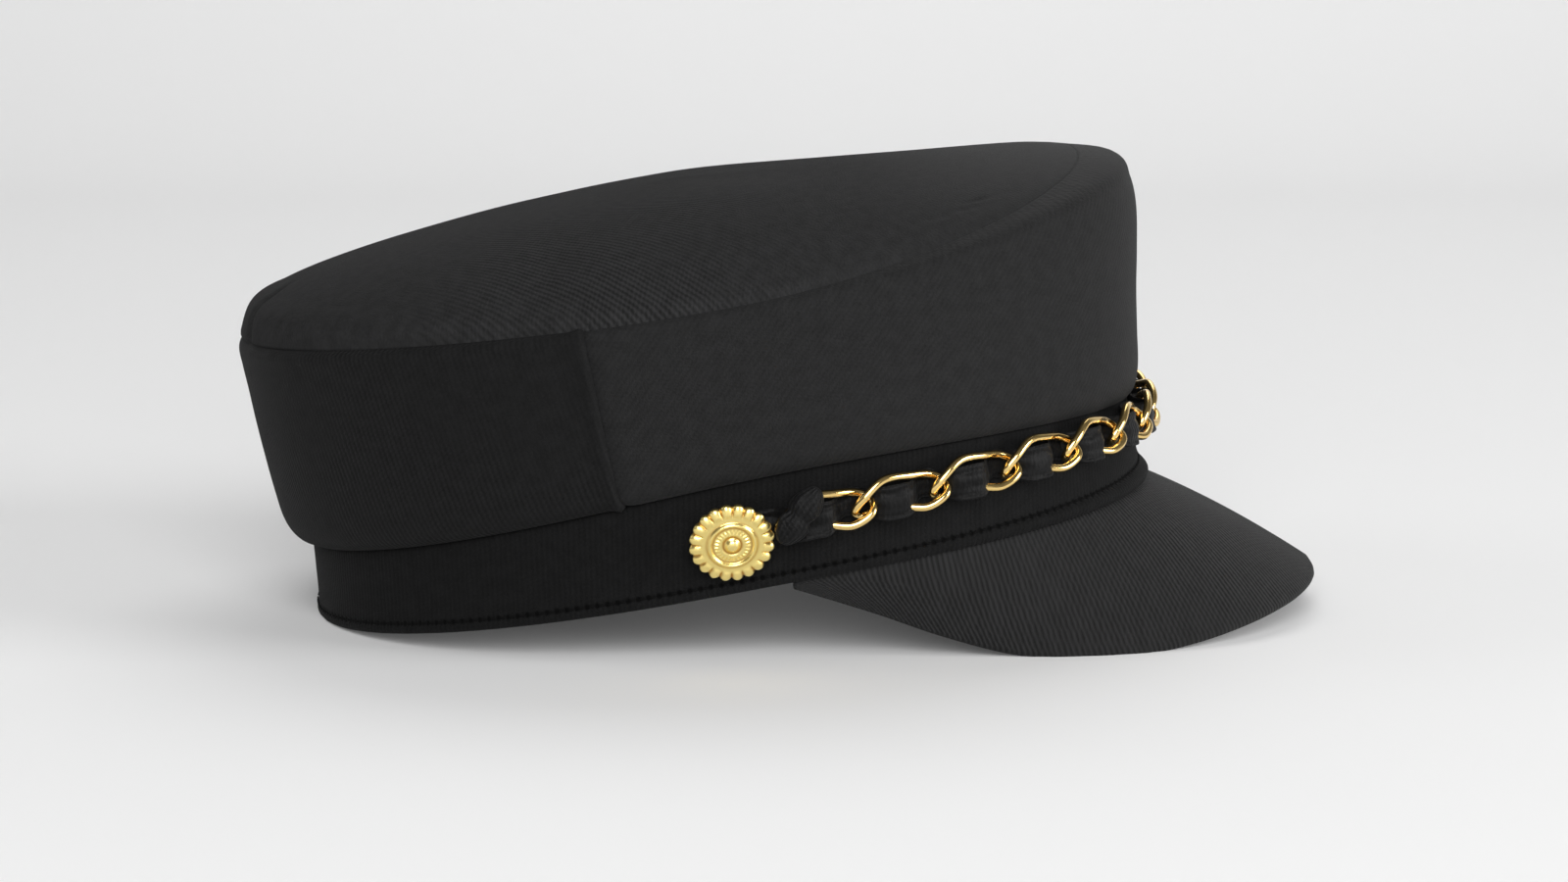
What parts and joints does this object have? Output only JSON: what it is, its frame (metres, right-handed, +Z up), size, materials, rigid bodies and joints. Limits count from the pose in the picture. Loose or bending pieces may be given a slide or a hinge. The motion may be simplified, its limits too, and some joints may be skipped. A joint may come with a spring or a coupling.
{
  "type": "captain hat",
  "caption": "Soft peaked captain hat in black twill with a puffed crown, a headband and a gold chain woven with ribbon between gold buttons.",
  "frame": {"origin": "on the surface that the hat rests on, under the middle of its box", "axes": "+Z up, the peak and front of the hat toward -Y, the wearer's right toward -X"},
  "size_m": [0.192, 0.265, 0.1124],
  "materials": {
    "crown_cloth": "black twill with a soft matt face",
    "band_cloth": "black twill, folded and topstitched",
    "peak_cloth": "black twill stretched over a stiff peak",
    "ribbon": "black woven ribbon",
    "gold": "polished gold-coloured metal"
  },
  "bodies": {
    "root": {"top_panel": "crown_cloth", "front_side_panel": "crown_cloth", "back_side_panel": "crown_cloth", "headband": "band_cloth", "peak": "peak_cloth", "button_right": "gold", "button_left": "gold", "chain_link_01": "gold", "chain_link_02": "gold", "chain_link_03": "gold", "chain_link_04": "gold", "chain_link_05": "gold", "chain_link_06": "gold", "chain_link_07": "gold", "chain_link_08": "gold", "chain_link_09": "gold", "chain_link_10": "gold", "chain_link_11": "gold", "chain_link_12": "gold", "chain_link_13": "gold", "chain_link_14": "gold", "chain_link_15": "gold", "chain_link_16": "gold", "chain_ribbon": "ribbon", "ribbon_knot_right": "ribbon", "ribbon_knot_left": "ribbon"}
  },
  "joints": []
}
